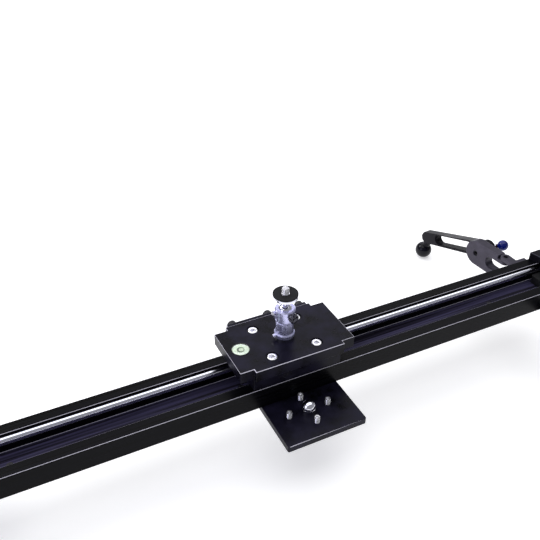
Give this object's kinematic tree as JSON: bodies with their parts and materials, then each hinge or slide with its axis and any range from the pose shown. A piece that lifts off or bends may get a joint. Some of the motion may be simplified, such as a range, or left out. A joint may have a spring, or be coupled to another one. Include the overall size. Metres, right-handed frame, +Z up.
{
  "type": "camera slider",
  "caption": "Tabletop camera slider: channel rail with guide rods, roller carriage with mini ball head, offset tripod plate and folding legs with ball feet.",
  "frame": {"origin": "on the ground under the middle of the rail, with the slider standing on its four feet and the carriage in the middle", "axes": "+X along the rail, +Y across it to the rear side, away from the tripod plate's overhang, +Z up"},
  "size_m": [0.664, 0.3742, 0.1576],
  "materials": {
    "black_anodised": "fine black anodised",
    "end_block_black": "satin black",
    "chrome_rod": "polished",
    "rubber_black": "matte",
    "black_steel": "black oxide",
    "bright_steel": "bright",
    "polished_chrome": "polished",
    "level_cup": "gloss",
    "level_fluid": "clear, pale green",
    "gunmetal": "satin gunmetal anodised",
    "foot_black": "gloss",
    "lever_blue": "gloss deep blue",
    "roller_steel": "ground"
  },
  "bodies": {
    "rail": {"rail_channel": "black_anodised", "front_guide_rod": "chrome_rod", "rear_guide_rod": "chrome_rod", "left_end_block": "end_block_black", "right_end_block": "end_block_black", "end_block_screws": "black_steel", "left_bumper": "rubber_black", "right_bumper": "rubber_black", "channel_floor_screws": "black_steel", "base_plate": "black_anodised", "base_plate_screws": "black_steel", "tripod_socket": "polished_chrome", "levelling_studs": "bright_steel", "leg_bracket_screws": "black_steel", "leg_swing_pins": "black_steel", "front_left_leg_bracket": "gunmetal", "front_right_leg_bracket": "gunmetal", "rear_left_leg_bracket": "gunmetal", "rear_right_leg_bracket": "gunmetal"},
    "carriage": {"carriage_block": "black_anodised", "carriage_top_plate": "black_anodised", "top_plate_screws": "bright_steel", "rear_bar": "black_anodised", "rear_bar_screws": "black_steel", "bubble_level_cup": "level_cup", "bubble_level_vial": "level_fluid", "roller_axles": "bright_steel", "head_mounting_stud": "bright_steel", "head_base": "polished_chrome"},
    "head_housing": {"head_housing": "polished_chrome"},
    "pan_lock_screw": {"pan_lock_screw": "polished_chrome"},
    "ball_drag_screw": {"ball_drag_screw": "polished_chrome"},
    "ball_lock_knob": {"ball_lock_knob": "polished_chrome"},
    "camera_platform": {"ball_stem": "polished_chrome", "platform_pad": "rubber_black", "camera_screw": "bright_steel"},
    "front_left_roller": {"front_left_roller": "roller_steel"},
    "front_right_roller": {"front_right_roller": "roller_steel"},
    "rear_left_roller": {"rear_left_roller": "roller_steel"},
    "rear_right_roller": {"rear_right_roller": "roller_steel"},
    "front_left_arm": {"front_left_inner_arm": "gunmetal", "front_left_hinge_bolt": "black_steel"},
    "front_left_leg": {"front_left_outer_leg": "gunmetal", "front_left_ball_foot": "foot_black"},
    "front_left_lever": {"front_left_lock_lever": "lever_blue"},
    "front_right_arm": {"front_right_inner_arm": "gunmetal", "front_right_hinge_bolt": "black_steel"},
    "front_right_leg": {"front_right_outer_leg": "gunmetal", "front_right_ball_foot": "foot_black"},
    "front_right_lever": {"front_right_lock_lever": "lever_blue"},
    "rear_left_arm": {"rear_left_inner_arm": "gunmetal", "rear_left_hinge_bolt": "black_steel"},
    "rear_left_leg": {"rear_left_outer_leg": "gunmetal", "rear_left_ball_foot": "foot_black"},
    "rear_left_lever": {"rear_left_lock_lever": "lever_blue"},
    "rear_right_arm": {"rear_right_inner_arm": "gunmetal", "rear_right_hinge_bolt": "black_steel"},
    "rear_right_leg": {"rear_right_outer_leg": "gunmetal", "rear_right_ball_foot": "foot_black"},
    "rear_right_lever": {"rear_right_lock_lever": "lever_blue"}
  },
  "joints": [
    {"name": "carriage_slide", "type": "slide", "parent": "rail", "child": "carriage", "axis": [1, 0, 0], "range_m": [-0.2715, 0.2715]},
    {"name": "front_left_roller_spin", "type": "hinge", "parent": "carriage", "child": "front_left_roller", "pos_m": [-0.03, -0.0082, 0.07235], "axis": [0, 0, 1], "continuous": true},
    {"name": "front_right_roller_spin", "type": "hinge", "parent": "carriage", "child": "front_right_roller", "pos_m": [0.03, -0.0082, 0.07235], "axis": [0, 0, 1], "continuous": true},
    {"name": "rear_left_roller_spin", "type": "hinge", "parent": "carriage", "child": "rear_left_roller", "pos_m": [-0.03, 0.0082, 0.07235], "axis": [0, 0, 1], "continuous": true},
    {"name": "rear_right_roller_spin", "type": "hinge", "parent": "carriage", "child": "rear_right_roller", "pos_m": [0.03, 0.0082, 0.07235], "axis": [0, 0, 1], "continuous": true},
    {"name": "head_pan", "type": "hinge", "parent": "carriage", "child": "head_housing", "pos_m": [0, 0, 0.10805], "axis": [0, 0, 1], "continuous": true},
    {"name": "head_tilt", "type": "hinge", "parent": "head_housing", "child": "camera_platform", "pos_m": [0, 0, 0.13305], "axis": [-1, 0, 0], "range_deg": [-25, 90]},
    {"name": "pan_lock_turn", "type": "hinge", "parent": "head_housing", "child": "pan_lock_screw", "pos_m": [-0.00996, -0.00087, 0.10965], "axis": [-0.9962, -0.0872, 0], "range_deg": [0, 180]},
    {"name": "ball_drag_turn", "type": "hinge", "parent": "head_housing", "child": "ball_drag_screw", "pos_m": [-0.00966, 0.00259, 0.13205], "axis": [-0.9659, 0.2588, 0], "range_deg": [0, 180]},
    {"name": "ball_lock_turn", "type": "hinge", "parent": "head_housing", "child": "ball_lock_knob", "pos_m": [0.00208, -0.01182, 0.13255], "axis": [0.1736, -0.9848, 0], "range_deg": [0, 120]},
    {"name": "front_left_leg_swing", "type": "hinge", "parent": "rail", "child": "front_left_arm", "pos_m": [-0.2974, -0.042, 0.06445], "axis": [0, 0, 1], "range_deg": [-25, 80]},
    {"name": "front_left_leg_fold", "type": "hinge", "parent": "front_left_arm", "child": "front_left_leg", "pos_m": [-0.2942, -0.07936, 0.06445], "axis": [0.9963, 0.0854, 0], "range_deg": [-40, 65]},
    {"name": "front_left_lever_turn", "type": "hinge", "parent": "front_left_arm", "child": "front_left_lever", "pos_m": [-0.2942, -0.07936, 0.06445], "axis": [0.9963, 0.0854, 0], "range_deg": [0, 75]},
    {"name": "front_right_leg_swing", "type": "hinge", "parent": "rail", "child": "front_right_arm", "pos_m": [0.2974, -0.042, 0.06445], "axis": [0, 0, -1], "range_deg": [-25, 80]},
    {"name": "front_right_leg_fold", "type": "hinge", "parent": "front_right_arm", "child": "front_right_leg", "pos_m": [0.2942, -0.07936, 0.06445], "axis": [0.9963, -0.0854, 0], "range_deg": [-40, 65]},
    {"name": "front_right_lever_turn", "type": "hinge", "parent": "front_right_arm", "child": "front_right_lever", "pos_m": [0.2942, -0.07936, 0.06445], "axis": [0.9963, -0.0854, 0], "range_deg": [0, 75]},
    {"name": "rear_left_leg_swing", "type": "hinge", "parent": "rail", "child": "rear_left_arm", "pos_m": [-0.2974, 0.042, 0.06445], "axis": [0, 0, -1], "range_deg": [-25, 80]},
    {"name": "rear_left_leg_fold", "type": "hinge", "parent": "rear_left_arm", "child": "rear_left_leg", "pos_m": [-0.2942, 0.07936, 0.06445], "axis": [-0.9963, 0.0854, 0], "range_deg": [-40, 65]},
    {"name": "rear_left_lever_turn", "type": "hinge", "parent": "rear_left_arm", "child": "rear_left_lever", "pos_m": [-0.2942, 0.07936, 0.06445], "axis": [-0.9963, 0.0854, 0], "range_deg": [0, 75]},
    {"name": "rear_right_leg_swing", "type": "hinge", "parent": "rail", "child": "rear_right_arm", "pos_m": [0.2974, 0.042, 0.06445], "axis": [0, 0, 1], "range_deg": [-25, 80]},
    {"name": "rear_right_leg_fold", "type": "hinge", "parent": "rear_right_arm", "child": "rear_right_leg", "pos_m": [0.2942, 0.07936, 0.06445], "axis": [-0.9963, -0.0854, 0], "range_deg": [-40, 65]},
    {"name": "rear_right_lever_turn", "type": "hinge", "parent": "rear_right_arm", "child": "rear_right_lever", "pos_m": [0.2942, 0.07936, 0.06445], "axis": [-0.9963, -0.0854, 0], "range_deg": [0, 75]}
  ],
  "couplings": [
    {"joint": "front_left_roller_spin", "follows": "carriage_slide", "rad_per_m": -208.33},
    {"joint": "front_right_roller_spin", "follows": "carriage_slide", "rad_per_m": -208.33},
    {"joint": "rear_left_roller_spin", "follows": "carriage_slide", "rad_per_m": 208.33},
    {"joint": "rear_right_roller_spin", "follows": "carriage_slide", "rad_per_m": 208.33}
  ]
}
